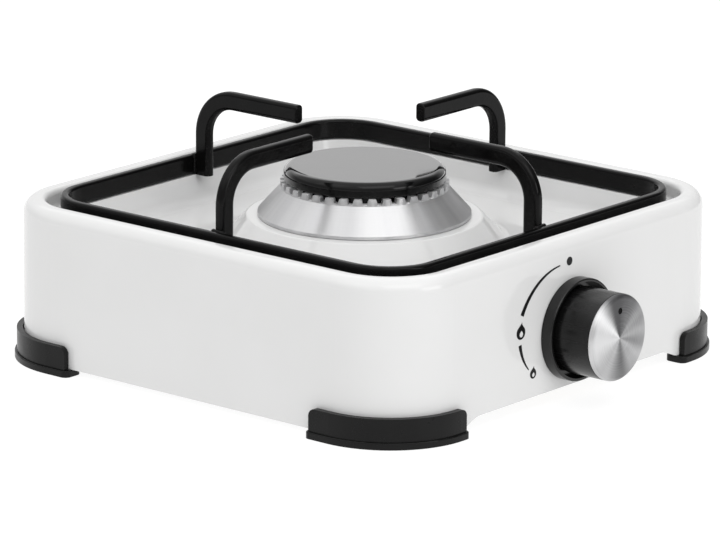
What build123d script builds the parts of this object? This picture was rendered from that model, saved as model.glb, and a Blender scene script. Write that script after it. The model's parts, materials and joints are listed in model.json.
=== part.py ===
"""Single-burner table-top gas stove, built as an assembly of separate pieces.

Millimetres, +Z up, front (the knob side) towards -Y.
The origin is the centre of the body's footprint, on the surface the feet stand on.
"""
import os
from math import cos, pi, radians, sin, tan

from build123d import *

os.makedirs("parts", exist_ok=True)

# ---- body pressing -------------------------------------------------------------------
BODY_HALF = 140.0          # half the body's width at its lower edge
BODY_CORNER_R = 43.5       # outer corner radius in plan
BODY_BOTTOM = 3.7          # lower edge where it stands in the feet
BODY_TOP = 86.0            # top of the rim
BODY_DRAFT = 0.2           # degrees, walls lean in towards the top
SHEET = 1.0                # enamelled sheet thickness
RIM_OUTER_R = 7.0          # rounding from wall to rim
RIM_INNER_R = 3.0          # rounding from rim into the well
HEM_WIDTH = 4.0            # lower edge turned inwards
ARCH_Z = 8.0               # lower edge between the feet
ARCH_FRONT = (76.0, 93.0)  # half length of the raised edge, and where it is down at the feet
ARCH_SIDE = (72.0, 87.0)

WELL_HALF = 127.5          # inner edge of the rim
WELL_CORNER_R = 31.0
LEDGE_Z = 76.8             # step that carries the pan support
LEDGE_HALF = 117.0         # inner edge of the step
LEDGE_CORNER_R = 24.8
FLOOR_Z = 62.0             # well floor
FLOOR_DRAFT = 12.0         # degrees, lower well wall
FLOOR_R = 7.0              # rounding from wall to floor
LEDGE_R = 1.5

PAD_R = 62.5               # raised round pad under the burner
PAD_Z = 74.5
PAD_EDGE_R = 1.5
PAD_FOOT_R = 5.0
PAD_SKIRT = 10.0           # flat margin round the foot of the pad
BURNER_HOLE_R = 24.5
CUP_SCREW_PITCH_R = 30.0
CUP_SCREW_COUNT = 3
SCREW_HOLE_R = 2.2

# ---- corner feet ---------------------------------------------------------------------
FOOT_BASE_H = 3.6
FOOT_FLANGE_OUT = 5.0      # flange beyond the body wall
FOOT_BAND_OUT = 3.8        # outer face of the upstand beyond the body wall
FOOT_BAND_T = 3.2
FOOT_BAND_TOP = 15.8
FOOT_BAND_END = (91.7, 83.3)      # where the upstand stops, along the front and along the side
FOOT_FLANGE_END = (89.2, 81.0)
FOOT_FLANGE_END_R = 3.6
FOOT_POST_END = (95.0, 90.0)
FOOT_INNER_IN = 5.6        # inner upstand, inside the hem
FOOT_INNER_T = 2.0
FOOT_INNER_TOP = 12.0
FOOT_BAND_CORNER_R = 4.0

# ---- pan support ---------------------------------------------------------------------
FRAME_HALF = 122.0
FRAME_CORNER_R = 29.7
FRAME_T = 4.6
FRAME_H = 10.8
FRAME_Z = 77.1
FRAME_EDGE_R = 1.6
FINGER_T = 5.8
FINGER_H = 10.0
FINGER_EDGE_R = 2.3
FINGER_TOP = 126.1
FINGER_TIP_R = 45.3        # distance of each tip from the burner axis
FINGER_BEND_R = 21.0       # centre line of the bend
FINGER_TIP_EDGE_R = 1.0
WELD_R = 1.5

# ---- burner --------------------------------------------------------------------------
HEAD_GAP = 0.3
HEAD_LIP_R = 56.5
HEAD_LIP_H = 1.6
CROWN_R = 44.6
CROWN_BASE_Z = 89.6
CROWN_TOP_Z = 93.1
CROWN_INNER_R = 40.8
HEAD_WALL = 2.2
CHAMBER_FLOOR_Z = 87.6     # upper face of the plate inside the head
CHAMBER_FLOOR_T = 2.0
SKIRT_OUTER_R = 19.5
SKIRT_INNER_R = 17.5
SKIRT_BOTTOM_Z = 78.6
PORT_COUNT = 36
PORT_BOTTOM_Z = 90.4
PORT_TOP_W = 4.3
PORT_BOTTOM_W = 2.2
PORT_TOP_Z = 94.1

CAP_R = 42.9
CAP_BOTTOM_Z = CROWN_TOP_Z + HEAD_GAP
CAP_TOP_Z = 101.4
CAP_TOP_EDGE_R = 4.2
CAP_BOTTOM_EDGE_R = 1.0
CAP_RING_OUTER_R = 40.0
CAP_RING_INNER_R = 38.0
CAP_RING_H = 3.0
CAP_HOLLOW_H = 2.6

CUP_FLANGE_R = 36.0
CUP_FLANGE_T = 2.0
CUP_COLLAR_INNER_R = 19.9
CUP_COLLAR_OUTER_R = 22.0
CUP_COLLAR_TOP_Z = 83.0
CUP_BOWL_R = 23.6
CUP_BOTTOM_Z = 58.0
CUP_WALL = 2.0
CUP_NECK_R = 12.0
CUP_NECK_BOTTOM_Z = 52.2

# ---- gas way -------------------------------------------------------------------------
KNOB_Z = 37.8              # height of the knob and tap axis
TUBE_R = 9.0               # mixing tube, outside
TUBE_WALL = 1.0
TUBE_BEND_R = 14.0
TUBE_TOP_Z = 60.0
TUBE_MOUTH_Y = -78.0
TUBE_FLARE_R = 12.0
TUBE_FLARE_L = 8.0

PANEL_HOLE_R = 8.2
BONNET_W = 46.0
BONNET_H = 24.0
BONNET_T = 3.0
BONNET_NECK_R = 7.8
TAP_SCREW_X = 16.0
TAP_W = 24.0
TAP_LENGTH = 38.0
PLUG_FRONT_R = 7.5
PLUG_REAR_R = 6.0
PLUG_LENGTH = 20.0
PLUG_CLEARANCE = 0.05
STEM_R = 3.0
STEM_FLAT = 1.0            # depth of the D flat
STEM_COLLAR_R = 4.2
STEM_COLLAR_T = 1.5
STEM_TIP_Y = -165.1
SPRING_WIRE_R = 0.35
SPRING_R = 4.6
SPRING_TURNS = 4.0
INJECTOR_R = 4.5
INJECTOR_L = 14.0
INJECTOR_BORE_R = 0.6

PIPE_R = 4.0
PIPE_WALL = 0.8
PIPE_X = 56.0
PIPE_BEND_R = 16.0
PIPE_REAR_Y = 112.0
UNION_ACROSS = 17.0
UNION_L = 12.0
INLET_HOLE_R = 7.0
INLET_THREAD_R = 6.8
INLET_HEX_ACROSS = 19.0
INLET_HEX_T = 7.0
BARB_R = 4.5               # hose tail between the barbs
BARB_TIP_R = 5.4
BARB_COUNT = 3
TAIL_END_Y = 169.9         # as far behind the centre as the knob stands before it
INLET_BORE_R = 2.6
LOCKNUT_ACROSS = 19.0
LOCKNUT_T = 4.0
WASHER_R = 11.0
WASHER_T = 1.2
CLIP_T = 1.2
CLIP_W = 12.0
CLIP_Y = 30.0

# ---- knob ----------------------------------------------------------------------------
PANEL_Y = -(BODY_HALF - (KNOB_Z - BODY_BOTTOM) * tan(radians(BODY_DRAFT)))
WALL_GAP = 0.1             # flat pieces stand this far off the leaning wall
BEZEL_R = 27.0
BEZEL_INNER_R = 25.4
BEZEL_DEPTH = 6.4
BEZEL_BACK_T = 1.0
BEZEL_EDGE_R = 0.7
KNOB_R = 22.8
KNOB_REAR_EDGE_R = 0.6
KNOB_FRONT_EDGE_R = 0.5    # leaves a fine dark line behind the disc
KNOB_BACK_Y = -143.8
KNOB_FRONT_Y = -166.9      # where the metal disc begins
KNOB_WALL = 2.2
KNOB_FACE_T = 2.4
KNOB_BOSS_R = 6.2
KNOB_BOSS_BACK_Y = -151.0
DISC_T = 3.0
DISC_EDGE_R = 2.3
DISC_BACK_EDGE_R = 0.3
POINTER_OFFSET = 14.4
POINTER_R = 1.7
POINTER_DEPTH = 0.6
KNOB_CLIP_R = 7.0
KNOB_CLIP_T = 0.6
KNOB_CLIP_W = 3.0

# ---- dial marks, placed from the knob axis -------------------------------------------
MARK_T = 0.12
OFF_DOT = (-4.0, 36.3)
OFF_DOT_R = 2.3
BIG_ARC_CENTRE = (-9.2, -2.6)
BIG_ARC_R = 38.1
BIG_ARC_SPAN = (3.9, 62.1)     # degrees from straight up, turning left
BIG_ARC_W = (0.7, 2.7)
SMALL_ARC_CENTRE = (-17.1, 4.7)
SMALL_ARC_R = 27.6
SMALL_ARC_SPAN = (100.0, 134.0)
SMALL_ARC_W = (2.4, 0.6)
ARC_STEPS = 12
BIG_FLAME = (-43.7, 6.4)
BIG_FLAME_R = 3.5
SMALL_FLAME = (-33.2, -17.4)
SMALL_FLAME_R = 2.5
FLAME_TIP = 1.6            # tip height over flame radius
FLAME_EYE = 0.42           # inner drop over flame radius


# ======================================================================================
def rounded_square(half, radius):
    """Square in plan with rounded corners."""
    return RectangleRounded(2 * half, 2 * half, radius)


def prism(sketch, z0, z1):
    """Straight prism of a plan sketch between two heights."""
    return extrude(Pos(0, 0, z0) * sketch, z1 - z0, dir=(0, 0, 1))


def disc(radius, z0, z1):
    """Upright cylinder between two heights."""
    return Pos(0, 0, z0) * Cylinder(radius, z1 - z0, align=(Align.CENTER, Align.CENTER, Align.MIN))


def turned(points):
    """Solid of revolution about Z from (radius, height) points."""
    outline = Polyline([(r, 0, z) for r, z in points], close=True)
    return revolve(make_face(outline), Axis.Z, 360)


def along_y(radius, y0, y1, x=0.0, z=KNOB_Z):
    """Cylinder running front to back between two y positions."""
    low, high = min(y0, y1), max(y0, y1)
    return Pos(x, (low + high) / 2, z) * Rot(90, 0, 0) * Cylinder(radius, high - low)


def hex_along_y(across, y0, y1, x=0.0, z=KNOB_Z):
    """Hexagonal prism running front to back."""
    sketch = RegularPolygon(across / 2, 6, major_radius=False)
    return Pos(x, y1, z) * Rot(90, 0, 0) * extrude(sketch, y1 - y0)


def block(x0, x1, y0, y1, z0, z1):
    """Rectangular block between two corners."""
    return Pos((x0 + x1) / 2, (y0 + y1) / 2, (z0 + z1) / 2) * Box(x1 - x0, y1 - y0, z1 - z0)


def bowl_around_y(points, x=0.0, z=KNOB_Z):
    """Solid of revolution about the front-to-back axis from (radius, y) points."""
    outline = Polyline([(r, y, 0) for r, y in points], close=True)
    return Pos(x, 0, z) * revolve(make_face(outline), Axis.Y, 360)


def loop_edges(solid, z, smallest_half, tolerance=0.02):
    """Horizontal edges at one height whose middle is at least a given distance out."""
    found = []
    for edge in solid.edges():
        box = edge.bounding_box()
        middle = edge @ 0.5
        flat = abs(box.min.Z - z) < tolerance and abs(box.max.Z - z) < tolerance
        if flat and max(abs(middle.X), abs(middle.Y)) > smallest_half:
            found.append(edge)
    return found


def four_round(piece):
    """The piece and its three copies, turned a quarter at a time."""
    return [Rot(0, 0, 90 * turn) * piece for turn in range(4)]


def save(node, pieces):
    """Write one node, as one solid or a group of like solids."""
    solids = []
    for piece in (pieces if isinstance(pieces, list) else [pieces]):
        solids.extend(piece.solids())
    shape = solids[0] if len(solids) == 1 else Compound(children=solids)
    shape.label = node
    export_step(shape, f"parts/{node}.step")
    return shape


# ======================================================================================
def arch_prism(flat_half, end_half, lift):
    """Prism along Y under an arch that is level in the middle and eased down at both ends."""
    low, high = -20.0, ARCH_Z + lift
    foot = BODY_BOTTOM - 0.5 + lift
    half = [(end_half, foot)]
    steps = 8
    for step in range(1, steps + 1):
        share = step / steps
        ease = (1 - cos(pi * share)) / 2
        half.append((end_half + (flat_half - end_half) * share, foot + (high - foot) * ease))
    curve = Spline([(x, 0, z) for x, z in half])
    mirrored = mirror(curve, Plane.YZ)
    outline = curve + Line(curve @ 1, mirrored @ 1) + mirrored
    outline += Polyline([mirrored @ 0, (-end_half, 0, low), (end_half, 0, low), curve @ 0])
    return extrude(make_face(outline), 200.0, dir=(0, 1, 0), both=True)


def arch_cutters(lift):
    """Prisms that raise the lower edge between the feet: front with rear, and both sides."""
    return arch_prism(*ARCH_FRONT, lift), Rot(0, 0, 90) * arch_prism(*ARCH_SIDE, lift)


def body_envelope(inset, top, edge_radius):
    """Outer form of the body, shrunk by an inset."""
    height = top - BODY_BOTTOM
    plan = rounded_square(BODY_HALF - inset, BODY_CORNER_R - inset)
    form = extrude(Pos(0, 0, BODY_BOTTOM) * plan, height, dir=(0, 0, 1), taper=BODY_DRAFT)
    return fillet(loop_edges(form, top, 50.0), edge_radius)


def well_form(grow):
    """Hollow of the well with its step, grown by the sheet thickness for the underside."""
    upper = prism(rounded_square(WELL_HALF + grow, WELL_CORNER_R + grow), LEDGE_Z - grow, 120.0)
    plan = rounded_square(LEDGE_HALF + grow, LEDGE_CORNER_R + grow)
    depth = LEDGE_Z - FLOOR_Z
    lower = extrude(Pos(0, 0, LEDGE_Z - grow) * plan, depth, dir=(0, 0, -1), taper=FLOOR_DRAFT)
    lower = fillet(loop_edges(lower, FLOOR_Z - grow, 50.0), FLOOR_R + grow)
    upper = fillet(loop_edges(upper, LEDGE_Z - grow, 50.0), LEDGE_R + grow)
    return upper + lower


def pad_form(shrink):
    """Raised pad under the burner, lowered by the sheet thickness for the underside."""
    top, floor = PAD_Z - shrink, FLOOR_Z - shrink
    shift = shrink * (2 ** 0.5 - 1)
    edge = PAD_R - shift
    foot = edge + (top - floor)
    points = [(0, floor - 1), (0, top), (edge, top), (foot, floor), (foot + PAD_SKIRT, floor)]
    points.append((foot + PAD_SKIRT, floor - 1))
    face = make_face(Polyline([(r, 0, z) for r, z in points], close=True))
    corners = face.vertices()
    top_corner = corners.sort_by_distance((edge, 0, top))[0]
    face = fillet(top_corner, PAD_EDGE_R - shrink * 0.8)
    foot_corner = face.vertices().sort_by_distance((foot, 0, floor))[0]
    face = fillet(foot_corner, PAD_FOOT_R + shrink)
    return revolve(face, Axis.Z, 360)


def make_body():
    """Enamelled pressing: walls, rim, stepped well, pad, hem and holes."""
    upper = body_envelope(0.0, BODY_TOP, RIM_OUTER_R) - well_form(0.0)
    upper = fillet(loop_edges(upper, BODY_TOP, WELL_HALF - 15.0), RIM_INNER_R)
    upper += pad_form(0.0)
    for cutter in arch_cutters(0.0):
        upper -= cutter
    lower = body_envelope(SHEET, BODY_TOP - SHEET, RIM_OUTER_R - SHEET) - well_form(SHEET)
    lower = fillet(loop_edges(lower, BODY_TOP - SHEET, WELL_HALF - 15.0), RIM_INNER_R - SHEET)
    lower += pad_form(SHEET)
    lower -= prism(rounded_square(BODY_HALF + 10, BODY_CORNER_R), 0.0, BODY_BOTTOM + SHEET)
    for cutter in arch_cutters(SHEET):
        lower -= cutter
    shell = upper - lower
    opening = BODY_HALF - SHEET - HEM_WIDTH
    shell -= prism(rounded_square(opening, BODY_CORNER_R - SHEET - HEM_WIDTH), -5.0, FLOOR_Z - 20.0)
    shell -= disc(BURNER_HOLE_R, PAD_Z - 10.0, PAD_Z + 10.0)
    for spot in PolarLocations(CUP_SCREW_PITCH_R, CUP_SCREW_COUNT, start_angle=90):
        shell -= Pos(spot.position.X, spot.position.Y, 0) * disc(SCREW_HOLE_R, PAD_Z - 10, PAD_Z + 10)
    shell -= along_y(PANEL_HOLE_R, -150.0, -130.0)
    for side in (-1, 1):
        shell -= along_y(SCREW_HOLE_R, -150.0, -130.0, x=side * TAP_SCREW_X)
    shell -= along_y(INLET_HOLE_R, 130.0, 150.0, x=PIPE_X)
    return max(shell.solids(), key=lambda solid: solid.volume)


def foot_ring(outer_out, inner_in, z0, z1, ends):
    """Part of a foot: a band following the body corner, cut off along each side."""
    outer = rounded_square(BODY_HALF + outer_out, BODY_CORNER_R + outer_out)
    inner = rounded_square(BODY_HALF - inner_in, BODY_CORNER_R - inner_in)
    far = BODY_HALF + 20.0
    return (prism(outer, z0, z1) - prism(inner, z0 - 1, z1 + 1)) & block(-far, -ends[0], -far, -ends[1], -5, 50)


def end_edges(edges, ends):
    """Edges that lie on either cut end of a foot."""
    return [e for e in edges if (e @ 0.5).X > -ends[0] - 0.1 or (e @ 0.5).Y > -ends[1] - 0.1]


def make_foot():
    """Push-on corner foot: base flange, outer upstand and inner upstand."""
    base = foot_ring(FOOT_FLANGE_OUT, FOOT_INNER_IN + FOOT_INNER_T, 0.0, FOOT_BASE_H, FOOT_FLANGE_END)
    base = fillet(end_edges(base.edges().filter_by(Axis.Z), FOOT_FLANGE_END), FOOT_FLANGE_END_R)
    base = fillet(base.edges().group_by(Axis.Z)[-1], 0.6)
    inner_side = -(FOOT_BAND_OUT - FOOT_BAND_T)
    band = foot_ring(FOOT_BAND_OUT, inner_side, FOOT_BASE_H - 0.5, FOOT_BAND_TOP, FOOT_BAND_END)
    band = fillet(end_edges(band.edges().group_by(Axis.Z)[-1], FOOT_BAND_END), FOOT_BAND_CORNER_R)
    post = foot_ring(-FOOT_INNER_IN, FOOT_INNER_IN + FOOT_INNER_T, FOOT_BASE_H - 0.5,
                     FOOT_INNER_TOP, FOOT_POST_END)
    return base + band + post


def make_feet():
    """Four feet: one moulding and its mirror image, two of each."""
    front_left = make_foot()
    front_right = mirror(front_left, Plane.YZ)
    return [front_left, front_right, mirror(front_left, Plane.XZ), mirror(front_right, Plane.XZ)]


# ======================================================================================
def make_frame():
    """Rounded square frame of flat bar on edge."""
    ring = prism(rounded_square(FRAME_HALF, FRAME_CORNER_R), FRAME_Z, FRAME_Z + FRAME_H)
    ring -= prism(rounded_square(FRAME_HALF - FRAME_T, FRAME_CORNER_R - FRAME_T), 0.0, 200.0)
    edges = loop_edges(ring, FRAME_Z, 50.0) + loop_edges(ring, FRAME_Z + FRAME_H, 50.0)
    return fillet(edges, FRAME_EDGE_R)


def make_finger():
    """Bent bar from the frame to near the burner axis, on the +X side."""
    leg_x = FRAME_HALF - FRAME_T - FINGER_H / 2
    top_z = FINGER_TOP - FINGER_H / 2
    start = (leg_x, 0, FRAME_Z)
    bend_start = (leg_x, 0, top_z - FINGER_BEND_R)
    bend_end = (leg_x - FINGER_BEND_R, 0, top_z)
    slant = FINGER_BEND_R * (1 - cos(pi / 4))
    bend_middle = (leg_x - slant, 0, top_z - slant)
    path = Line(start, bend_start) + ThreePointArc(bend_start, bend_middle, bend_end)
    path += Line(bend_end, (FINGER_TIP_R, 0, top_z))
    section = Plane(origin=start, z_dir=(0, 0, 1)) * RectangleRounded(FINGER_H, FINGER_T, FINGER_EDGE_R)
    bar = sweep(section, path=path)
    tip = bar.faces().sort_by(Axis.X)[0]
    return fillet(tip.edges(), FINGER_TIP_EDGE_R)


def make_welds():
    """Small weld beads in the corners between one finger and the frame."""
    x = FRAME_HALF - FRAME_T
    top = FRAME_Z + FRAME_H
    beads = []
    for side in (-1, 1):
        y = side * FINGER_T / 2
        upright = Pos(x - 0.4, y, FRAME_Z + FRAME_H / 2) * Cylinder(WELD_R * 0.6, FRAME_H - 2.4)
        bead = Pos(x, y, top - 0.6) * Sphere(WELD_R)
        beads.append(upright + bead)
    across = Pos(x, 0, top - 0.4) * Rot(90, 0, 0) * Cylinder(WELD_R * 0.8, FINGER_T)
    return beads[0] + beads[1] + across


# ======================================================================================
def make_head():
    """Burner head: flared skirt, crown with flame ports, plate and spigot."""
    base_z = PAD_Z + HEAD_GAP
    plate_bottom = CHAMBER_FLOOR_Z - CHAMBER_FLOOR_T
    lip_top = base_z + HEAD_LIP_H
    outer = [(HEAD_LIP_R, base_z), (HEAD_LIP_R, lip_top), (CROWN_R, CROWN_BASE_Z), (CROWN_R, CROWN_TOP_Z)]
    inner = [(CROWN_INNER_R, CROWN_TOP_Z), (CROWN_INNER_R, CHAMBER_FLOOR_Z),
             (SKIRT_INNER_R, CHAMBER_FLOOR_Z), (SKIRT_INNER_R, SKIRT_BOTTOM_Z),
             (SKIRT_OUTER_R, SKIRT_BOTTOM_Z), (SKIRT_OUTER_R, plate_bottom),
             (CROWN_R - HEAD_WALL, plate_bottom), (HEAD_LIP_R - HEAD_WALL, lip_top),
             (HEAD_LIP_R - HEAD_WALL, base_z)]
    head = turned(outer + inner)
    bottom_half, top_half = PORT_BOTTOM_W / 2, PORT_TOP_W / 2
    slot = Polyline([(CROWN_R - 6, -bottom_half, PORT_BOTTOM_Z), (CROWN_R - 6, bottom_half, PORT_BOTTOM_Z),
                     (CROWN_R - 6, top_half, PORT_TOP_Z), (CROWN_R - 6, -top_half, PORT_TOP_Z)], close=True)
    port = extrude(make_face(slot), 12.0, dir=(1, 0, 0))
    ports = [Rot(0, 0, 360.0 * index / PORT_COUNT) * port for index in range(PORT_COUNT)]
    return head - ports


def make_cap():
    """Enamelled cap with a locating ring underneath."""
    cap = disc(CAP_R, CAP_BOTTOM_Z, CAP_TOP_Z)
    cap = fillet(loop_edges(cap, CAP_TOP_Z, 0.0), CAP_TOP_EDGE_R)
    cap = fillet(loop_edges(cap, CAP_BOTTOM_Z, 0.0), CAP_BOTTOM_EDGE_R)
    cap -= disc(CAP_RING_INNER_R, CAP_BOTTOM_Z - 1, CAP_BOTTOM_Z + CAP_HOLLOW_H)
    ring = disc(CAP_RING_OUTER_R, CAP_BOTTOM_Z - CAP_RING_H, CAP_BOTTOM_Z + 0.5)
    ring -= disc(CAP_RING_INNER_R, CAP_BOTTOM_Z - CAP_RING_H - 1, CAP_BOTTOM_Z + 1)
    notch = block(CAP_RING_INNER_R - 2, CAP_RING_OUTER_R + 1, -3.0, 3.0, 80.0, CAP_BOTTOM_Z - 0.8)
    for turn in range(6):
        ring -= Rot(0, 0, 60 * turn) * notch
    return cap + ring


def make_cup():
    """Burner cup: flange on the pad, collar for the head, bowl and neck for the tube."""
    flange_top = PAD_Z + CUP_FLANGE_T
    bowl_in = CUP_BOWL_R - CUP_WALL
    points = [(CUP_COLLAR_INNER_R, CUP_COLLAR_TOP_Z), (CUP_COLLAR_OUTER_R, CUP_COLLAR_TOP_Z),
              (CUP_COLLAR_OUTER_R, flange_top), (CUP_FLANGE_R, flange_top), (CUP_FLANGE_R, PAD_Z),
              (CUP_BOWL_R, PAD_Z), (CUP_BOWL_R, CUP_BOTTOM_Z + 4), (CUP_NECK_R, CUP_BOTTOM_Z),
              (CUP_NECK_R, CUP_NECK_BOTTOM_Z), (TUBE_R, CUP_NECK_BOTTOM_Z), (TUBE_R, TUBE_TOP_Z + 1.0),
              (bowl_in, CUP_BOTTOM_Z + 6), (bowl_in, PAD_Z - 1), (CUP_COLLAR_INNER_R, PAD_Z + 1)]
    cup = turned(points)
    for spot in PolarLocations(CUP_SCREW_PITCH_R, CUP_SCREW_COUNT, start_angle=90):
        cup -= Pos(spot.position.X, spot.position.Y, 0) * disc(SCREW_HOLE_R, PAD_Z - 5, PAD_Z + 5)
    return cup


def pan_screw(length, radius=2.0, head_radius=3.7, head_height=2.2):
    """Cross-recessed pan-head screw, head up, underside of the head at the origin."""
    shank = Cylinder(radius, length, align=(Align.CENTER, Align.CENTER, Align.MAX))
    head = Cylinder(head_radius, head_height, align=(Align.CENTER, Align.CENTER, Align.MIN))
    head = fillet(head.edges().group_by(Axis.Z)[-1], 1.0)
    recess = Pos(0, 0, head_height - 0.6) * (Box(4.0, 0.9, 1.4) + Box(0.9, 4.0, 1.4))
    return shank + head - recess


def hex_nut(across, height, bore):
    """Hexagon nut standing on the origin."""
    nut = extrude(RegularPolygon(across / 2, 6, major_radius=False), height)
    return nut - Pos(0, 0, -1) * Cylinder(bore, height + 2, align=(Align.CENTER, Align.CENTER, Align.MIN))


def cup_screws_and_nuts():
    """Screws through the cup flange and pad, with nuts below."""
    screws, nuts = [], []
    for spot in PolarLocations(CUP_SCREW_PITCH_R, CUP_SCREW_COUNT, start_angle=90):
        x, y = spot.position.X, spot.position.Y
        screws.append(Pos(x, y, PAD_Z + CUP_FLANGE_T) * pan_screw(8.0))
        nuts.append(Pos(x, y, PAD_Z - SHEET - 3.2) * hex_nut(7.0, 3.2, 2.0))
    return screws, nuts


def make_tube():
    """Mixing tube: flared mouth at the tap, run to the middle, elbow up into the cup."""
    rear = (0, -TUBE_BEND_R, KNOB_Z)
    slant = TUBE_BEND_R * (1 - cos(pi / 4))
    middle = (0, -slant, KNOB_Z + slant)
    up = (0, 0, KNOB_Z + TUBE_BEND_R)
    mouth = (0, TUBE_MOUTH_Y, KNOB_Z)
    path = Line(mouth, rear) + ThreePointArc(rear, middle, up) + Line(up, (0, 0, TUBE_TOP_Z))
    plane = Plane(origin=mouth, z_dir=(0, 1, 0))
    tube = sweep(plane * Circle(TUBE_R), path=path) - sweep(plane * Circle(TUBE_R - TUBE_WALL), path=path)
    front = TUBE_MOUTH_Y - TUBE_FLARE_L
    flare = bowl_around_y([(TUBE_R, TUBE_MOUTH_Y), (TUBE_FLARE_R, front + 1), (TUBE_FLARE_R, front),
                           (TUBE_FLARE_R - TUBE_WALL, front), (TUBE_R - TUBE_WALL, TUBE_MOUTH_Y)])
    return tube + flare


# ======================================================================================
WALL_INSIDE_Y = PANEL_Y + SHEET + WALL_GAP
BONNET_BACK_Y = WALL_INSIDE_Y + BONNET_T
TAP_REAR_Y = BONNET_BACK_Y + TAP_LENGTH
PLUG_FRONT_Y = BONNET_BACK_Y + 12.0
PLUG_REAR_Y = PLUG_FRONT_Y + PLUG_LENGTH
INLET_Y = PLUG_FRONT_Y + PLUG_LENGTH / 2


def make_bonnet():
    """Front cover of the tap, with the neck that carries the stem."""
    plate = block(-BONNET_W / 2, BONNET_W / 2, WALL_INSIDE_Y, BONNET_BACK_Y,
                  KNOB_Z - BONNET_H / 2, KNOB_Z + BONNET_H / 2)
    plate = fillet(plate.edges().filter_by(Axis.Y), 5.0)
    plate += along_y(BONNET_NECK_R, PANEL_Y - 1.4, WALL_INSIDE_Y + 0.5)
    plate -= along_y(STEM_R + 0.08, PANEL_Y - 5, BONNET_BACK_Y + 5)
    for side in (-1, 1):
        plate -= along_y(1.7, WALL_INSIDE_Y - 1, BONNET_BACK_Y + 1, x=side * TAP_SCREW_X)
    return plate


def make_tap_body():
    """Brass tap body with taper bore, spring chamber, side inlet and rear outlet."""
    half = TAP_W / 2
    body = block(-half, half, BONNET_BACK_Y, TAP_REAR_Y - 6, KNOB_Z - half, KNOB_Z + half)
    body = fillet(body.edges().filter_by(Axis.Y), 4.0)
    body += along_y(8.0, TAP_REAR_Y - 7, TAP_REAR_Y)
    side_boss = Rot(0, 90, 0) * Cylinder(7.5, 10.0, align=(Align.CENTER, Align.CENTER, Align.MIN))
    body += Pos(half - 1, INLET_Y, KNOB_Z) * side_boss
    bore = PLUG_CLEARANCE
    body -= bowl_around_y([(0, BONNET_BACK_Y - 1), (PLUG_FRONT_R + bore, BONNET_BACK_Y - 1),
                           (PLUG_FRONT_R + bore, PLUG_FRONT_Y), (PLUG_REAR_R + bore, PLUG_REAR_Y + 0.3),
                           (0, PLUG_REAR_Y + 0.3)])
    body -= along_y(2.0, PLUG_REAR_Y - 1, TAP_REAR_Y - 4.4)
    body -= along_y(INJECTOR_R, TAP_REAR_Y - 5.0, TAP_REAR_Y + 1)
    way = Rot(0, 90, 0) * Cylinder(2.5, 20.0, align=(Align.CENTER, Align.CENTER, Align.MIN))
    body -= Pos(PLUG_REAR_R - 1, INLET_Y, KNOB_Z) * way
    socket = Rot(0, 90, 0) * Cylinder(PIPE_R, 6.0, align=(Align.CENTER, Align.CENTER, Align.MIN))
    body -= Pos(half + 9.0 - 5.0, INLET_Y, KNOB_Z) * socket
    return body


def d_shaft(radius, flat, y0, y1):
    """Round shaft along Y with one flat on top."""
    shaft = along_y(radius, y0, y1)
    return shaft - block(-10, 10, y0 - 1, y1 + 1, KNOB_Z + radius - flat, KNOB_Z + 20)


def make_plug():
    """Taper plug with its gas way and the slot that the stem drives."""
    plug = bowl_around_y([(0, PLUG_FRONT_Y), (PLUG_FRONT_R, PLUG_FRONT_Y), (PLUG_REAR_R, PLUG_REAR_Y),
                          (0, PLUG_REAR_Y)])
    plug -= d_shaft(STEM_R + 0.08, STEM_FLAT, PLUG_FRONT_Y - 1, PLUG_FRONT_Y + 9.0)
    plug -= along_y(2.0, PLUG_FRONT_Y + 12.0, PLUG_REAR_Y + 1)
    plug -= Pos(0, PLUG_FRONT_Y + 13.0, KNOB_Z) * Rot(0, 90, 0) * Cylinder(1.8, 30.0)
    return plug


def make_stem():
    """Tap stem: D shaft with a collar that the spring pushes forward."""
    stem = d_shaft(STEM_R, STEM_FLAT, STEM_TIP_Y, PLUG_FRONT_Y + 4.0)
    collar_y = BONNET_BACK_Y + 0.6
    return stem + along_y(STEM_COLLAR_R, collar_y, collar_y + STEM_COLLAR_T)


def make_spring():
    """Return spring round the stem, between the collar and the plug."""
    front = BONNET_BACK_Y + 0.6 + STEM_COLLAR_T + 3.4
    length = PLUG_FRONT_Y - front - 2 * SPRING_WIRE_R - 0.2
    helix = Helix(pitch=length / SPRING_TURNS, height=length, radius=SPRING_R)
    wire_plane = Plane(origin=helix @ 0, z_dir=helix % 0)
    coil = sweep(wire_plane * Circle(SPRING_WIRE_R), path=helix, is_frenet=True)
    return Pos(0, PLUG_FRONT_Y - SPRING_WIRE_R - 0.1, KNOB_Z) * Rot(90, 0, 0) * coil


def make_injector():
    """Brass jet screwed into the outlet of the tap."""
    front = TAP_REAR_Y - 4.4
    hexagon = hex_along_y(11.0, TAP_REAR_Y, TAP_REAR_Y + 4.5)
    jet = along_y(INJECTOR_R, front, TAP_REAR_Y + 0.5) + hexagon
    jet += bowl_around_y([(0, TAP_REAR_Y + 4), (4.2, TAP_REAR_Y + 4), (2.4, front + INJECTOR_L),
                          (0, front + INJECTOR_L)])
    return jet - along_y(INJECTOR_BORE_R, front - 1, front + INJECTOR_L + 1)


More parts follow.
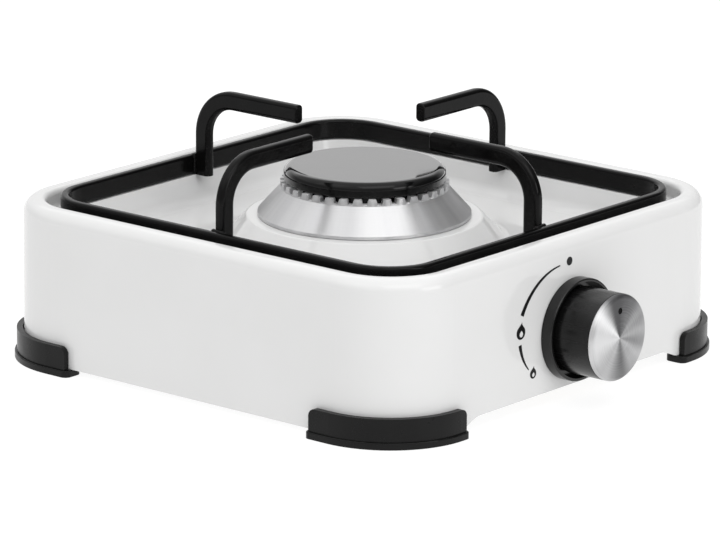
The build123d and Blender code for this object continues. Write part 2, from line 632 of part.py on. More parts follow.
def make_pipe():
    """Steel gas pipe from the rear inlet to the side of the tap."""
    start = (TAP_W / 2 + 4.2, INLET_Y, KNOB_Z)
    corner_x = PIPE_X - PIPE_BEND_R
    slant = PIPE_BEND_R * (1 - cos(pi / 4))
    bend_start = (corner_x, INLET_Y, KNOB_Z)
    bend_middle = (PIPE_X - slant, INLET_Y + slant, KNOB_Z)
    bend_end = (PIPE_X, INLET_Y + PIPE_BEND_R, KNOB_Z)
    path = Line(start, bend_start) + ThreePointArc(bend_start, bend_middle, bend_end)
    path += Line(bend_end, (PIPE_X, PIPE_REAR_Y + 4.0, KNOB_Z))
    plane = Plane(origin=start, z_dir=(1, 0, 0))
    return sweep(plane * Circle(PIPE_R), path=path) - sweep(plane * Circle(PIPE_R - PIPE_WALL), path=path)


def make_union_nuts():
    """Nuts that hold the pipe to the tap and to the inlet."""
    nut = hex_nut(UNION_ACROSS, UNION_L, PIPE_R)
    at_tap = Pos(TAP_W / 2 + 9.05, INLET_Y, KNOB_Z) * Rot(0, 90, 0) * nut
    at_inlet = Pos(PIPE_X, PIPE_REAR_Y - 1.0, KNOB_Z) * Rot(90, 0, 0) * nut
    return [at_tap, at_inlet]


def make_inlet():
    """Hose nozzle: threaded body through the rear wall, hexagon and barbed tail."""
    outside = -PANEL_Y
    hex_start = outside + WASHER_T
    nozzle = along_y(INLET_THREAD_R, PIPE_REAR_Y, hex_start + 0.5, x=PIPE_X)
    nozzle += hex_along_y(INLET_HEX_ACROSS, hex_start, hex_start + INLET_HEX_T, x=PIPE_X)
    tail_start = hex_start + INLET_HEX_T
    first = tail_start + 2.0
    pitch = (TAIL_END_Y - 1.0 - first) / BARB_COUNT
    points = [(0, tail_start - 0.5), (BARB_R, tail_start - 0.5), (BARB_R, first)]
    for index in range(BARB_COUNT):
        y = first + index * pitch
        points += [(BARB_TIP_R, y + 0.8), (BARB_TIP_R, y + 1.6), (BARB_R, y + pitch)]
    points += [(BARB_R - 0.8, TAIL_END_Y), (0, TAIL_END_Y)]
    nozzle += bowl_around_y(points, x=PIPE_X)
    nozzle -= along_y(INLET_BORE_R, PIPE_REAR_Y + 3.0, 200.0, x=PIPE_X)
    return nozzle - along_y(PIPE_R, PIPE_REAR_Y - 1, PIPE_REAR_Y + 4.05, x=PIPE_X)


def ring_along_y(outer, inner, y0, y1, x):
    """Flat ring standing across the front-to-back direction."""
    return along_y(outer, y0, y1, x=x) - along_y(inner, y0 - 1, y1 + 1, x=x)


def make_pipe_clip():
    """Steel saddle that hangs the pipe from the underside of the well."""
    top = FLOOR_Z - SHEET
    y0, y1 = CLIP_Y - CLIP_W / 2, CLIP_Y + CLIP_W / 2
    loop = ring_along_y(PIPE_R + CLIP_T, PIPE_R, y0, y1, PIPE_X)
    strap_x = PIPE_X + PIPE_R
    strap = block(strap_x, strap_x + CLIP_T, y0, y1, KNOB_Z, top)
    tab = block(strap_x, strap_x + 16.0, y0, y1, top - CLIP_T, top)
    return loop + strap + tab


# ======================================================================================
def make_bezel():
    """Fixed ring round the knob, with a back plate under the tap screws."""
    back = PANEL_Y - WALL_GAP
    ring = along_y(BEZEL_R, back - BEZEL_DEPTH, back)
    front_edges = ring.edges().sort_by(Axis.Y)[0]
    ring = fillet(front_edges, BEZEL_EDGE_R)
    ring -= along_y(BEZEL_INNER_R, back - BEZEL_DEPTH - 1, back - BEZEL_BACK_T)
    ring -= along_y(PANEL_HOLE_R, back - 10, back + 1)
    for side in (-1, 1):
        ring -= along_y(SCREW_HOLE_R, back - 10, back + 1, x=side * TAP_SCREW_X)
    return ring


def make_tap_screws():
    """Two screws under the knob: bezel, wall and tap bonnet."""
    seat = PANEL_Y - WALL_GAP - BEZEL_BACK_T
    screw = Rot(90, 0, 0) * pan_screw(BEZEL_BACK_T + SHEET + BONNET_T, radius=1.7)
    return [Pos(side * TAP_SCREW_X, seat, KNOB_Z) * screw for side in (-1, 1)]


def make_knob():
    """Knob moulding: hollow cylinder with a boss for the D shaft."""
    knob = along_y(KNOB_R, KNOB_FRONT_Y, KNOB_BACK_Y)
    knob = fillet(knob.edges().sort_by(Axis.Y)[-1], KNOB_REAR_EDGE_R)
    knob = fillet(knob.edges().sort_by(Axis.Y)[0], KNOB_FRONT_EDGE_R)
    knob -= along_y(KNOB_R - KNOB_WALL, KNOB_FRONT_Y + KNOB_FACE_T, KNOB_BACK_Y + 1)
    knob += along_y(KNOB_BOSS_R, KNOB_FRONT_Y + 1, KNOB_BOSS_BACK_Y)
    return knob - d_shaft(STEM_R, STEM_FLAT, STEM_TIP_Y - 0.2, KNOB_BOSS_BACK_Y + 1)


def make_disc():
    """Spun metal disc on the front of the knob, with a hole for the pointer."""
    plate = along_y(KNOB_R, KNOB_FRONT_Y - DISC_T, KNOB_FRONT_Y)
    plate = fillet(plate.edges().sort_by(Axis.Y)[0], DISC_EDGE_R)
    plate = fillet(plate.edges().sort_by(Axis.Y)[-1], DISC_BACK_EDGE_R)
    front = KNOB_FRONT_Y - DISC_T
    return plate - along_y(POINTER_R, front - 1, front + POINTER_DEPTH, z=KNOB_Z + POINTER_OFFSET)


def make_pointer():
    """Black pointer dot let into the disc."""
    front = KNOB_FRONT_Y - DISC_T
    return along_y(POINTER_R, front + 0.15, front + POINTER_DEPTH, z=KNOB_Z + POINTER_OFFSET)


def make_knob_clip():
    """Steel ring that grips the knob boss on the shaft."""
    y0 = KNOB_BOSS_BACK_Y - KNOB_CLIP_W - 0.6
    ring = ring_along_y(KNOB_CLIP_R - KNOB_CLIP_T * 0.3, KNOB_BOSS_R, y0, y0 + KNOB_CLIP_W, 0.0)
    gap = block(-1.2, 1.2, y0 - 1, y0 + KNOB_CLIP_W + 1, KNOB_Z - 12, KNOB_Z - 3)
    return ring - gap


# ======================================================================================
def dial_point(centre, radius, angle):
    """Point of a dial arc, angle in degrees from straight up, turning left."""
    return centre[0] - radius * sin(radians(angle)), centre[1] + radius * cos(radians(angle))


def tapered_arc(centre, radius, span, widths):
    """Dial arc whose width changes from one end to the other."""
    outer, inner = [], []
    for step in range(ARC_STEPS + 1):
        share = step / ARC_STEPS
        angle = span[0] + (span[1] - span[0]) * share
        half = (widths[0] + (widths[1] - widths[0]) * share) / 2
        outer.append(dial_point(centre, radius + half, angle))
        inner.append(dial_point(centre, radius - half, angle))
    edges = [Spline(outer), Line(outer[-1], inner[-1]), Spline(inner[::-1]), Line(inner[0], outer[0])]
    return make_face(edges)


def drop(centre, radius):
    """Flame symbol: a drop with its point up."""
    x, z = centre
    tip = (x + 0.25 * radius, z + FLAME_TIP * radius)
    right, left, low = (x + radius, z), (x - radius, z), (x, z - radius)
    bowl = ThreePointArc(right, low, left)
    left_side = Spline([left, (x - 0.6 * radius, z + 0.8 * radius), tip], tangents=[(0, 1), (0.5, 1)])
    right_side = Spline([tip, (x + 0.66 * radius, z + 0.8 * radius), right], tangents=[(0, -1), (0, -1)])
    return make_face([bowl, left_side, right_side])


def make_marks():
    """Printed dial: off dot, two tapering arcs, a large and a small flame."""
    shapes = [Pos(*OFF_DOT) * Circle(OFF_DOT_R),
              tapered_arc(BIG_ARC_CENTRE, BIG_ARC_R, BIG_ARC_SPAN, BIG_ARC_W),
              tapered_arc(SMALL_ARC_CENTRE, SMALL_ARC_R, SMALL_ARC_SPAN, SMALL_ARC_W)]
    for centre, radius in ((BIG_FLAME, BIG_FLAME_R), (SMALL_FLAME, SMALL_FLAME_R)):
        eye = drop((centre[0] + 0.1 * radius, centre[1] - 0.25 * radius), radius * FLAME_EYE)
        shapes.append(drop(centre, radius) - eye)
    panel = Pos(0, PANEL_Y - 0.01, KNOB_Z) * Rot(-BODY_DRAFT, 0, 0) * Rot(90, 0, 0)
    return [panel * extrude(shape, MARK_T) for shape in shapes]


# ======================================================================================
def build_all():
    """Build and write every node."""
    save("body_shell", make_body())
    save("corner_feet", make_feet())
    save("pan_frame", make_frame())
    save("pan_fingers", four_round(make_finger()))
    save("pan_welds", four_round(make_welds() - make_finger() - make_frame()))
    save("burner_head", make_head())
    save("burner_cap", make_cap())
    save("burner_cup", make_cup())
    screws, nuts = cup_screws_and_nuts()
    save("cup_screws", screws)
    save("cup_nuts", nuts)
    save("mixing_tube", make_tube())
    save("tap_bonnet", make_bonnet())
    save("tap_body", make_tap_body())
    save("tap_plug", make_plug())
    save("tap_stem", make_stem())
    save("stem_spring", make_spring())
    save("tap_injector", make_injector())
    save("tap_screws", make_tap_screws())
    save("gas_pipe", make_pipe())
    save("union_nuts", make_union_nuts())
    save("inlet_nozzle", make_inlet())
    outside = -PANEL_Y
    washer = ring_along_y(WASHER_R, INLET_THREAD_R, outside + WALL_GAP, outside + WASHER_T, PIPE_X)
    save("inlet_washer", washer)
    nut = hex_along_y(LOCKNUT_ACROSS, outside - SHEET - LOCKNUT_T - 0.1, outside - SHEET - 0.1, x=PIPE_X)
    save("inlet_locknut", nut - along_y(INLET_THREAD_R, 120.0, 150.0, x=PIPE_X))
    save("pipe_clip", make_pipe_clip())
    save("knob_bezel", make_bezel())
    save("knob_body", make_knob())
    save("knob_disc", make_disc())
    save("knob_pointer", make_pointer())
    save("knob_clip", make_knob_clip())
    save("dial_marks", make_marks())


build_all()
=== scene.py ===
"""Looks, lights and camera for the one-burner table-top gas stove.

Metres, +Z up, the knob side towards -Y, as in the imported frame. The CAD meshes are shown as they are:
each node gets its material here, and the floor, surroundings, lamps and camera are set round them.
"""
import json
import math

import bpy
from mathutils import Matrix, Vector

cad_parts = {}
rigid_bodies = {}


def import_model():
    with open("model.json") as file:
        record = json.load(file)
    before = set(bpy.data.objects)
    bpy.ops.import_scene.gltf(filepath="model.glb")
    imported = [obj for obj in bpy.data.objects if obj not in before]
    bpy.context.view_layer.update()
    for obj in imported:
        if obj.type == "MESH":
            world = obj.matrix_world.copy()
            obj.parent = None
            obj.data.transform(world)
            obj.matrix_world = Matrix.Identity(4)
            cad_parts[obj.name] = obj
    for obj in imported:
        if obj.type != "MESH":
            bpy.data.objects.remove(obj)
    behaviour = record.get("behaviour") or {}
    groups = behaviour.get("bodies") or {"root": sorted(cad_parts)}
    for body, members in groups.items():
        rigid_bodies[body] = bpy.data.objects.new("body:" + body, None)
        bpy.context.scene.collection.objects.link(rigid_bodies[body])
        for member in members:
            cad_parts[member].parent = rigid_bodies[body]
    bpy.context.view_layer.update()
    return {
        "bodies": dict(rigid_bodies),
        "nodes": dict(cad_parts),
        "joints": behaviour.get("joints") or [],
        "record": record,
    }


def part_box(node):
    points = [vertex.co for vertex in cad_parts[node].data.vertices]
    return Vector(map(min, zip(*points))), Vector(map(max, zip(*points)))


# ---- camera: the photograph's view, fitted to the object's edges ---------------------
CAMERA_AZIMUTH = -50.33        # degrees from straight on to the front
CAMERA_ELEVATION = 15.07
CAMERA_ROLL = 0.42
CAMERA_DISTANCE = 2.950
CAMERA_LENS = 278.9            # mm, on the sensor width below
SENSOR_WIDTH = 36.0
CLIP_NEAR, CLIP_FAR = 0.1, 20.0
AIM_HEIGHT = 0.050             # the point looked at, before it is moved across and up
AIM_SIDE = -0.0022
AIM_UP = -0.0061

# ---- floor ---------------------------------------------------------------------------
WHITE = (1.0, 1.0, 1.0, 1.0)
FLOOR_HALF = 4.0
FLOOR_LEVEL = -0.0002          # a hair under the feet
FLOOR_GLOW = 0.88              # light from under the paper, so no shadow shows on it
FLOOR_ROUGHNESS = 0.75

# ---- surroundings --------------------------------------------------------------------
# brightness by the height of a direction, 0 at the horizon and 1 straight up
WORLD_LOW, WORLD_MIDDLE, WORLD_TOP = 0.55, 1.10, 1.40
LOW_TO_MIDDLE = (0.38, 0.48)
MIDDLE_TO_TOP = (0.72, 0.90)
# a darker side, to the right of the stove: compass direction, share left, and where it sets in
RIGHT_AZIMUTH, WORLD_RIGHT, RIGHT_SPREAD = 65, 0.15, (0.45, 0.85)
# an extra glow low behind the stove: compass direction, brightness, where it sets in and fades upward
BACK_AZIMUTH, WORLD_BACK, BACK_SPREAD, BACK_FADE = 130, 0.30, (0.55, 0.85), (0.34, 0.50)

# ---- lamps: name, azimuth, elevation, distance, width, height, watts -----------------
LAMPS = (
    ("key", -28, 50, 1.9, 1.4, 0.9, 5.5),
    ("left", -110, 50, 1.8, 1.2, 0.9, 1.6),
    ("rear", 130, 45, 1.8, 1.6, 0.9, 2.0),
    ("right", 5, 15, 1.7, 0.8, 0.6, 4.5),
)
LAMP_AIM_HEIGHT = 0.06

# ---- turned metal: how much each pattern adds to its tone, the rays being painted reflection ---
RING_SHARE, CLOUD_SHARE, PAINTED_REFLECTION_SHARE = 0.14, 0.16, 0.7
# the wedges that a turned face shows: start in the noise, scale, detail, roughness, and the tones
# between which they run from dark to light. The starts are chosen, not plain: the disc's came from a
# search through 6000 for wedges that fall where the photograph shows them, and the burner's is one of
# five first tried for the disc.
# both wedge settings put painted reflection into the base colour: light and dark reflection wedges fixed to
# the metal
BURNER_PAINTED_REFLECTION = ((0.0, 8.9, 3.3), 6.0, 2.0, 0.45, 0.35, 0.65)
DISC_PAINTED_REFLECTION = ((10.9, 9.5, -5.2), 1.0, 1.0, 0.40, 0.39, 0.68)

STEEL_NODES = ("cup_screws", "cup_nuts", "mixing_tube", "tap_bonnet", "tap_stem", "stem_spring",
               "tap_screws", "gas_pipe", "inlet_washer", "inlet_locknut", "pipe_clip", "knob_clip")
BRASS_NODES = ("tap_body", "tap_plug", "tap_injector", "union_nuts", "inlet_nozzle")


# ======================================================================================
# node helpers
# ======================================================================================
def new_material(name, **constants):
    """Node material with a Principled shader joined to its output, and its constants set."""
    material = bpy.data.materials.new(name)
    material.use_nodes = True
    tree = material.node_tree
    tree.nodes.clear()
    output = tree.nodes.new("ShaderNodeOutputMaterial")
    shader = tree.nodes.new("ShaderNodeBsdfPrincipled")
    tree.links.new(shader.outputs["BSDF"], output.inputs["Surface"])
    for socket, value in constants.items():
        shader.inputs[socket.replace("_", " ")].default_value = value
    return material, tree, shader


def connect(tree, value, socket):
    """A socket fed by a fixed value or by another node."""
    if isinstance(value, (int, float, tuple)):
        socket.default_value = value
    else:
        tree.links.new(value, socket)


def object_point(tree):
    """Position on the object, in metres."""
    return tree.nodes.new("ShaderNodeTexCoord").outputs["Object"]


def noise(tree, point, scale, detail=3.0, roughness=0.55, distortion=0.0):
    """Noise value at a point."""
    node = tree.nodes.new("ShaderNodeTexNoise")
    node.inputs["Scale"].default_value = scale
    node.inputs["Detail"].default_value = detail
    node.inputs["Roughness"].default_value = roughness
    node.inputs["Distortion"].default_value = distortion
    tree.links.new(point, node.inputs["Vector"])
    return node.outputs["Fac"]


def remap(tree, value, low=0.0, high=1.0, from_low=0.3, from_high=0.7):
    """Value stretched from one range to another, held at the ends."""
    node = tree.nodes.new("ShaderNodeMapRange")
    node.inputs["From Min"].default_value = from_low
    node.inputs["From Max"].default_value = from_high
    node.inputs["To Min"].default_value = low
    node.inputs["To Max"].default_value = high
    tree.links.new(value, node.inputs["Value"])
    return node.outputs["Result"]


def mix_colour(tree, factor, first, second):
    """Two colours mixed by a value."""
    node = tree.nodes.new("ShaderNodeMix")
    node.data_type = "RGBA"
    inputs = {socket.identifier: socket for socket in node.inputs}
    connect(tree, first, inputs["A_Color"])
    connect(tree, second, inputs["B_Color"])
    connect(tree, factor, inputs["Factor_Float"])
    return next(socket for socket in node.outputs if socket.identifier == "Result_Color")


def vector_math(tree, operation, point, other=None):
    """Vector arithmetic on a point, with a fixed second vector where the operation has one."""
    node = tree.nodes.new("ShaderNodeVectorMath")
    node.operation = operation
    if other is not None:
        node.inputs[1].default_value = other
    tree.links.new(point, node.inputs[0])
    return node


def scaled(tree, point, factors):
    """A point multiplied axis by axis."""
    return vector_math(tree, "MULTIPLY", point, factors).outputs["Vector"]


def shifted(tree, point, offset):
    """A point with an offset taken away."""
    return vector_math(tree, "SUBTRACT", point, offset).outputs["Vector"]


def math_node(tree, operation, *values):
    """Arithmetic on one or two values."""
    node = tree.nodes.new("ShaderNodeMath")
    node.operation = operation
    for socket, value in zip(node.inputs, values):
        connect(tree, value, socket)
    return node.outputs["Value"]


def split_xyz(tree, vector):
    """The three parts of a vector, by name."""
    node = tree.nodes.new("ShaderNodeSeparateXYZ")
    tree.links.new(vector, node.inputs[0])
    return node.outputs


def around_axis(tree, centre, axis):
    """Distance from an axis through a centre, the place along it, and the direction away from it."""
    local = shifted(tree, object_point(tree), centre)
    parts = split_xyz(tree, local)
    first, second = {"Z": ("X", "Y"), "Y": ("X", "Z")}[axis]
    squares = [math_node(tree, "MULTIPLY", parts[name], parts[name]) for name in (first, second)]
    distance = math_node(tree, "SQRT", math_node(tree, "ADD", *squares))
    flat = scaled(tree, local, (1.0, 1.0, 0.0) if axis == "Z" else (1.0, 0.0, 1.0))
    return distance, parts[axis], vector_math(tree, "NORMALIZE", flat).outputs["Vector"]


def combined(tree, *values):
    """Three values as one vector."""
    node = tree.nodes.new("ShaderNodeCombineXYZ")
    for socket, value in zip(node.inputs, values):
        connect(tree, value, socket)
    return node.outputs["Vector"]


def tint(tree, shader, factor, first, second):
    """Base colour that runs between two colours."""
    tree.links.new(mix_colour(tree, factor, first, second), shader.inputs["Base Color"])


def gloss(tree, shader, value, low, high, **source):
    """Roughness that runs between two values."""
    tree.links.new(remap(tree, value, low, high, **source), shader.inputs["Roughness"])


def bump(tree, shader, height, strength, distance, under=None):
    """Bump on a shader, over another bump where one is given; the distance is in metres."""
    node = tree.nodes.new("ShaderNodeBump")
    node.inputs["Strength"].default_value = strength
    node.inputs["Distance"].default_value = distance
    tree.links.new(height, node.inputs["Height"])
    if under is not None:
        tree.links.new(under, node.inputs["Normal"])
    tree.links.new(node.outputs["Normal"], shader.inputs["Normal"])
    return node.outputs["Normal"]


# ======================================================================================
# materials
# ======================================================================================
def white_enamel():
    """Fired white enamel: glassy, faintly rippled, with a few pinholes and a breath of dust."""
    thin, thick, pinhole = (0.690, 0.690, 0.687, 1), (0.710, 0.710, 0.709, 1), (0.62, 0.62, 0.61, 1)
    material, tree, shader = new_material("fired_white_enamel", IOR=1.45)
    point = object_point(tree)
    base = mix_colour(tree, remap(tree, noise(tree, point, scale=14.0)), thin, thick)
    specks = remap(tree, noise(tree, point, scale=900.0, detail=1.0), from_low=0.80, from_high=0.84)
    tint(tree, shader, specks, base, pinhole)
    tall = scaled(tree, point, (1.0, 1.0, 2.2))
    smear = noise(tree, tall, scale=26.0, detail=5.0, roughness=0.62, distortion=0.6)
    gloss(tree, shader, smear, 0.04, 0.11)
    ripple = bump(tree, shader, noise(tree, point, scale=22.0, detail=2.0), 0.30, 0.0006)
    bump(tree, shader, noise(tree, point, scale=420.0, detail=2.0), 0.10, 0.00008, ripple)
    return material


def black_enamel():
    """Glossy black enamel on bar: slight orange peel, and a little browner where it is thin."""
    thick, thin = (0.002, 0.002, 0.0022, 1), (0.0045, 0.0043, 0.0042, 1)
    material, tree, shader = new_material("fired_black_enamel", IOR=1.22)
    point = object_point(tree)
    tint(tree, shader, remap(tree, noise(tree, point, scale=60.0, detail=4.0)), thick, thin)
    gloss(tree, shader, noise(tree, point, scale=90.0, detail=5.0, roughness=0.65), 0.10, 0.20)
    peel = bump(tree, shader, noise(tree, point, scale=260.0, detail=2.0), 0.28, 0.00025)
    bump(tree, shader, noise(tree, point, scale=1500.0, detail=2.0), 0.12, 0.00004, peel)
    return material


def cap_enamel():
    """Smoother, glassier black enamel of the burner cap, with its strongest gloss at low angles."""
    thick, thin = (0.003, 0.003, 0.0032, 1), (0.005, 0.005, 0.005, 1)
    material, tree, shader = new_material("cap_black_enamel", IOR=1.30, Coat_IOR=1.80,
                                          Coat_Roughness=0.04)
    point = object_point(tree)
    tint(tree, shader, remap(tree, noise(tree, point, scale=40.0, detail=4.0)), thick, thin)
    gloss(tree, shader, noise(tree, point, scale=70.0, detail=5.0, roughness=0.6), 0.07, 0.17)
    facing = tree.nodes.new("ShaderNodeLayerWeight")
    facing.inputs["Blend"].default_value = 0.5
    coat = remap(tree, facing.outputs["Facing"], from_low=0.45, from_high=0.70)
    tree.links.new(coat, shader.inputs["Coat Weight"])
    wave = bump(tree, shader, noise(tree, point, scale=55.0, detail=2.0), 0.20, 0.0004)
    bump(tree, shader, noise(tree, point, scale=700.0, detail=2.0), 0.10, 0.00005, wave)
    return material


def turned_metal(name, centre, axis, light, dark, roughness, anisotropy, groove_scale, painted_reflection_rays):
    """Metal cut or brushed in circles round an axis, with its own rings and random tone, and painted
    reflection wedges, in its colour.
    """
    material, tree, shader = new_material(name, Metallic=1.0, Anisotropic=anisotropy)
    distance, along, direction = around_axis(tree, centre, axis)
    tree.links.new(direction, shader.inputs["Tangent"])
    rings = noise(tree, combined(tree, distance, along, 0.0), groove_scale, detail=4.0, roughness=0.7)
    cloud = noise(tree, object_point(tree), scale=45.0, detail=4.0)
    start, ray_scale, detail, fade, darkest, lightest = painted_reflection_rays
    # painted reflection: the light and dark wedges that reflections make on turned metal, put into the
    # colour
    painted_reflection_wedges = noise(tree, shifted(tree, direction, start), ray_scale, detail, fade)
    shares = [math_node(tree, "MULTIPLY", value, share)
              for value, share in ((rings, RING_SHARE), (cloud, CLOUD_SHARE), (painted_reflection_wedges, PAINTED_REFLECTION_SHARE))]
    tone = math_node(tree, "ADD", math_node(tree, "ADD", shares[0], shares[1]), shares[2])
    # base colour: the rings and cloud are the metal's own tone, the wedges are painted reflection
    tint(tree, shader, remap(tree, tone, from_low=darkest, from_high=lightest), dark, light)
    gloss(tree, shader, tone, *roughness, from_low=darkest, from_high=lightest)
    bump(tree, shader, rings, 0.20, 0.00001)
    return material


def burner_metal():
    """Brushed aluminium of the burner, with painted reflection wedges in its colour."""
    return turned_metal("brushed_burner_aluminium", (0.0, 0.0, 0.0), "Z", light=(0.76, 0.76, 0.765, 1),
                        dark=(0.60, 0.60, 0.61, 1), roughness=(0.38, 0.48), anisotropy=0.88,
                        groove_scale=900.0, painted_reflection_rays=BURNER_PAINTED_REFLECTION)


def disc_metal(centre):
    """Aluminium disc turned on the knob's axis, with painted reflection wedges, dark to light, in its
    colour.
    """
    return turned_metal("spun_knob_disc", centre, "Y", light=(0.80, 0.80, 0.805, 1),
                        # dark 0.17 and light 0.80 are the painted reflection wedges, not the metal's own
                        # colour
                        dark=(0.17, 0.17, 0.175, 1), roughness=(0.50, 0.56), anisotropy=0.90,
                        groove_scale=1400.0, painted_reflection_rays=DISC_PAINTED_REFLECTION)


def black_plastic(name, tone, index, roughness, grain_scale, grain_depth):
    """Moulded black plastic with a fine grain and lightly rubbed patches."""
    dark, rubbed = ((tone * share, tone * share, tone * share, 1) for share in (0.8, 1.3))
    material, tree, shader = new_material(name, IOR=index)
    point = object_point(tree)
    tint(tree, shader, remap(tree, noise(tree, point, scale=35.0, detail=4.0)), dark, rubbed)
    gloss(tree, shader, noise(tree, point, scale=120.0, detail=5.0, roughness=0.65), *roughness)
    bump(tree, shader, noise(tree, point, grain_scale, detail=2.0), 0.35, grain_depth)
    return material


def knob_plastic(centre):
    """Turned black plastic: satin, with fine streaks along the axis."""
    dark, rubbed = (0.0025, 0.0025, 0.0026, 1), (0.006, 0.006, 0.006, 1)
    material, tree, shader = new_material("knob_plastic", IOR=1.36)
    direction = around_axis(tree, centre, "Y")[2]
    point = object_point(tree)
    streak = noise(tree, direction, scale=7.0, detail=3.0, roughness=0.6)
    tint(tree, shader, remap(tree, noise(tree, point, scale=60.0, detail=4.0)), dark, rubbed)
    gloss(tree, shader, streak, 0.12, 0.38)
    streaks = bump(tree, shader, streak, 0.20, 0.0003)
    bump(tree, shader, noise(tree, point, scale=2400.0, detail=2.0), 0.25, 0.00002, streaks)
    return material


def plated_steel():
    """Zinc-plated steel: greyish, spangled, a little stained."""
    dull, bright, stained = (0.56, 0.57, 0.58, 1), (0.66, 0.67, 0.68, 1), (0.45, 0.43, 0.36, 1)
    stain_share = 0.35
    material, tree, shader = new_material("zinc_plated_steel", Metallic=1.0)
    point = object_point(tree)
    cells = tree.nodes.new("ShaderNodeTexVoronoi")
    cells.inputs["Scale"].default_value = 240.0
    tree.links.new(point, cells.inputs["Vector"])
    spangle = remap(tree, cells.outputs["Distance"], from_low=0.0, from_high=0.8)
    stain = remap(tree, noise(tree, point, scale=50.0, detail=5.0, roughness=0.6))
    base = mix_colour(tree, spangle, dull, bright)
    tint(tree, shader, math_node(tree, "MULTIPLY", stain, stain_share), base, stained)
    gloss(tree, shader, stain, 0.28, 0.46, from_low=0.0, from_high=1.0)
    bump(tree, shader, noise(tree, point, scale=600.0), 0.2, 0.00006)
    return material


def cast_brass():
    """Machined brass with light tarnish."""
    fresh, tarnished = (0.80, 0.60, 0.27, 1), (0.60, 0.41, 0.17, 1)
    material, tree, shader = new_material("machined_brass", Metallic=1.0)
    point = object_point(tree)
    tarnish = remap(tree, noise(tree, point, scale=70.0, detail=5.0, roughness=0.6))
    tint(tree, shader, tarnish, fresh, tarnished)
    gloss(tree, shader, tarnish, 0.22, 0.40, from_low=0.0, from_high=1.0)
    lengthwise = scaled(tree, point, (1.0, 0.15, 1.0))
    bump(tree, shader, noise(tree, lengthwise, scale=900.0), 0.25, 0.00005)
    return material


def printed_ink():
    """Dark screen-printed ink, fired flat into the enamel."""
    dense, thin = (0.004, 0.004, 0.0045, 1), (0.010, 0.010, 0.0105, 1)
    material, tree, shader = new_material("printed_dial_ink", IOR=1.25)
    point = object_point(tree)
    cloud = remap(tree, noise(tree, point, scale=500.0, detail=4.0))
    tint(tree, shader, cloud, dense, thin)
    gloss(tree, shader, cloud, 0.30, 0.45, from_low=0.0, from_high=1.0)
    bump(tree, shader, noise(tree, point, scale=1800.0, detail=2.0), 0.15, 0.00002)
    return material


def stage_white():
    """Pale floor paper, lit from under itself."""
    darker, lighter = (0.15, 0.15, 0.15, 1), (0.17, 0.17, 0.17, 1)
    material, tree, shader = new_material("floor_paper", Roughness=FLOOR_ROUGHNESS,
                                          Emission_Color=WHITE, Emission_Strength=FLOOR_GLOW)
    point = object_point(tree)
    tint(tree, shader, remap(tree, noise(tree, point, scale=3.0)), darker, lighter)
    bump(tree, shader, noise(tree, point, scale=300.0, detail=2.0), 0.05, 0.0002)
    return material


# ======================================================================================
# the object
# ======================================================================================
def paint(frame, material, *nodes):
    """Give CAD nodes one material."""
    for node in nodes:
        mesh = frame["nodes"][node].data
        mesh.materials.clear()
        mesh.materials.append(material)


def dress(frame):
    """Put every material on the CAD nodes."""
    low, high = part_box("knob_disc")
    knob_centre = tuple((low + high) / 2)
    paint(frame, white_enamel(), "body_shell")
    paint(frame, black_enamel(), "pan_frame", "pan_fingers", "pan_welds")
    paint(frame, cap_enamel(), "burner_cap")
    paint(frame, burner_metal(), "burner_head", "burner_cup")
    paint(frame, disc_metal(knob_centre), "knob_disc")
    paint(frame, knob_plastic(knob_centre), "knob_body")
    for node, name, tone, index, roughness, grain_scale, grain_depth in (
            ("corner_feet", "foot_plastic", 0.005, 1.27, (0.24, 0.36), 1400.0, 0.00005),
            ("knob_bezel", "bezel_plastic", 0.004, 1.42, (0.12, 0.22), 2400.0, 0.00001),
            ("knob_pointer", "pointer_paint", 0.001, 1.15, (0.45, 0.60), 3000.0, 0.00001)):
        paint(frame, black_plastic(name, tone, index, roughness, grain_scale, grain_depth), node)
    paint(frame, plated_steel(), *STEEL_NODES)
    paint(frame, cast_brass(), *BRASS_NODES)
    paint(frame, printed_ink(), "dial_marks")


# ======================================================================================
# the studio
# ======================================================================================
def add_object(name, data):
    """New object in the scene."""
    item = bpy.data.objects.new(name, data)
    bpy.context.scene.collection.objects.link(item)
    return item


def heading(azimuth, elevation=0.0):
    """Unit vector from the stove towards a compass direction and height, in degrees."""
    a, e = math.radians(azimuth), math.radians(elevation)
    return Vector((math.sin(a) * math.cos(e), -math.cos(a) * math.cos(e), math.sin(e)))


def make_floor():
    """Plain pale floor under the feet."""
    half, level = FLOOR_HALF, FLOOR_LEVEL
    corners = [(-half, -half, level), (half, -half, level), (half, half, level), (-half, half, level)]
    mesh = bpy.data.meshes.new("floor")
    mesh.from_pydata(corners, [], [(0, 1, 2, 3)])
    mesh.materials.append(stage_white())
    add_object("floor", mesh)


def softbox(name, azimuth, elevation, distance, width, height, power):
    """Rectangular lamp aimed at the stove from a direction round it."""
    lamp = bpy.data.lights.new(name, "AREA")
    lamp.shape = "RECTANGLE"
    lamp.size, lamp.size_y = width, height
    lamp.energy = power
    item = add_object(name, lamp)
    away = heading(azimuth, elevation)
    item.location = away * distance + Vector((0, 0, LAMP_AIM_HEIGHT))
    item.rotation_mode = "QUATERNION"
    item.rotation_quaternion = away.to_track_quat("Z", "Y")


def towards(tree, direction, azimuth, spread, start, full):
    """Value that changes from start to full as a direction turns to a compass direction."""
    along = vector_math(tree, "DOT_PRODUCT", direction, heading(azimuth)).outputs["Value"]
    return remap(tree, along, start, full, *spread)


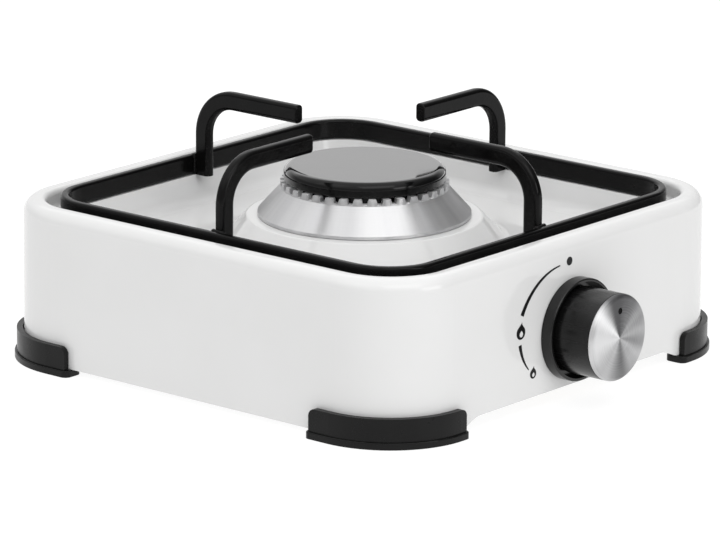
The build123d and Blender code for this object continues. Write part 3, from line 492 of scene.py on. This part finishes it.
def make_world():
    """White surroundings: brighter upward, darker to the right, with a low glow at the back."""
    world = bpy.data.worlds.new("studio")
    bpy.context.scene.world = world
    world.use_nodes = True
    tree = world.node_tree
    background = tree.nodes["Background"]
    background.inputs["Color"].default_value = WHITE
    direction = tree.nodes.new("ShaderNodeTexCoord").outputs["Generated"]
    height = split_xyz(tree, direction)["Z"]
    level = math_node(tree, "ADD", remap(tree, height, WORLD_LOW, WORLD_MIDDLE, *LOW_TO_MIDDLE),
                      remap(tree, height, 0.0, WORLD_TOP - WORLD_MIDDLE, *MIDDLE_TO_TOP))
    level = math_node(tree, "MULTIPLY", level,
                      towards(tree, direction, RIGHT_AZIMUTH, RIGHT_SPREAD, 1.0, WORLD_RIGHT))
    back = math_node(tree, "MULTIPLY", towards(tree, direction, BACK_AZIMUTH, BACK_SPREAD, 0.0, WORLD_BACK),
                     remap(tree, height, 1.0, 0.0, *BACK_FADE))
    tree.links.new(math_node(tree, "ADD", level, back), background.inputs["Strength"])


def make_camera():
    """Long lens from front left, a little above."""
    data = bpy.data.cameras.new("camera")
    data.sensor_width = SENSOR_WIDTH
    data.lens = CAMERA_LENS
    data.clip_start, data.clip_end = CLIP_NEAR, CLIP_FAR
    camera = add_object("camera", data)
    back = heading(CAMERA_AZIMUTH, CAMERA_ELEVATION)
    a = math.radians(CAMERA_AZIMUTH)
    side = Vector((math.cos(a), math.sin(a), 0.0))
    up = back.cross(side)
    roll = Matrix.Rotation(math.radians(CAMERA_ROLL), 3, back)
    side, up = roll @ side, roll @ up
    aim = Vector((0, 0, AIM_HEIGHT)) + side * AIM_SIDE + up * AIM_UP
    camera.location = aim + back * CAMERA_DISTANCE
    camera.rotation_mode = "QUATERNION"
    camera.rotation_quaternion = Matrix((side, up, back)).transposed().to_quaternion()
    bpy.context.scene.camera = camera


# ======================================================================================
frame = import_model()
dress(frame)
make_floor()
make_world()
for lamp in LAMPS:
    softbox(*lamp)
make_camera()
view = bpy.context.scene.view_settings
view.view_transform = "Standard"
view.look = "None"
